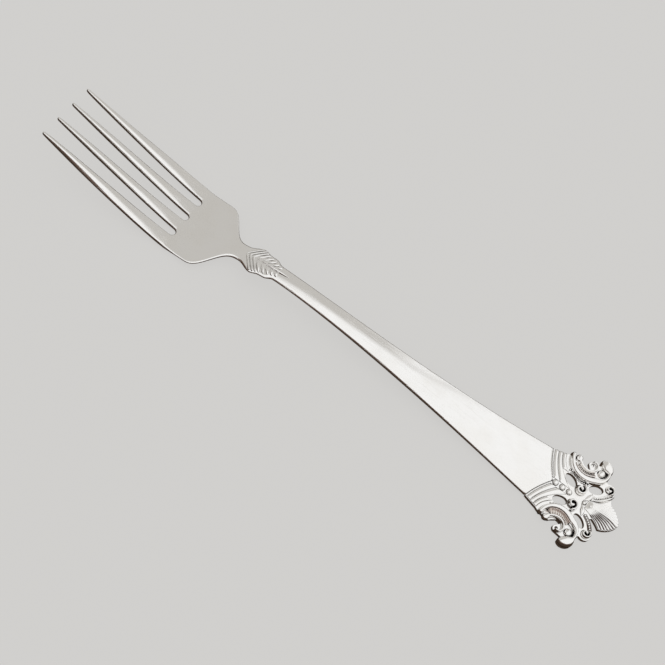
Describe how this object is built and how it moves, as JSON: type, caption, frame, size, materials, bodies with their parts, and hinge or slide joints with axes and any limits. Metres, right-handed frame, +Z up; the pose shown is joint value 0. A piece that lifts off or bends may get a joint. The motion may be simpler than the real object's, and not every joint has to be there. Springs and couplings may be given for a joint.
{
  "type": "lunch fork",
  "caption": "Silver lunch fork with slim pointed tines, square shoulders, a plain flaring stem and a pierced finial of scrolls, beads and a palmette.",
  "frame": {"origin": "centre of the fork's bounding box in plan, on the surface it lies on", "axes": "+X along the fork from the tines to the finial, +Y to the diner's right, +Z up out of the table, away from the fork's back"},
  "size_m": [0.172, 0.0276, 0.0097],
  "materials": {
    "polished_silver": "polished silver with fine scratches from use",
    "relief_silver": "polished silver with darkened recesses",
    "darkened_silver": "oxidised silver"
  },
  "bodies": {
    "root": {"arch_scroll_left": "relief_silver", "arch_scroll_right": "relief_silver", "bead_1": "relief_silver", "bead_2": "relief_silver", "bead_3": "relief_silver", "eye_bead_left": "relief_silver", "eye_bead_right": "relief_silver", "finial_plate": "relief_silver", "flutes_left": "darkened_silver", "flutes_right": "darkened_silver", "inner_volute_left": "relief_silver", "inner_volute_right": "relief_silver", "inner_wire_left": "relief_silver", "inner_wire_right": "relief_silver", "milled_wire_left": "relief_silver", "milled_wire_right": "relief_silver", "neck_chevron_1": "relief_silver", "neck_chevron_2": "relief_silver", "neck_chevron_3": "relief_silver", "neck_leaf": "relief_silver", "palmette": "relief_silver", "plain_wire_left": "relief_silver", "plain_wire_right": "relief_silver", "rim_scroll_left": "relief_silver", "rim_scroll_right": "relief_silver", "short_wire_left": "relief_silver", "short_wire_right": "relief_silver", "side_volute_left": "relief_silver", "side_volute_right": "relief_silver", "small_bead": "relief_silver", "stem": "polished_silver", "tine_1": "polished_silver", "tine_2": "polished_silver", "tine_3": "polished_silver", "tine_4": "polished_silver"}
  },
  "joints": []
}
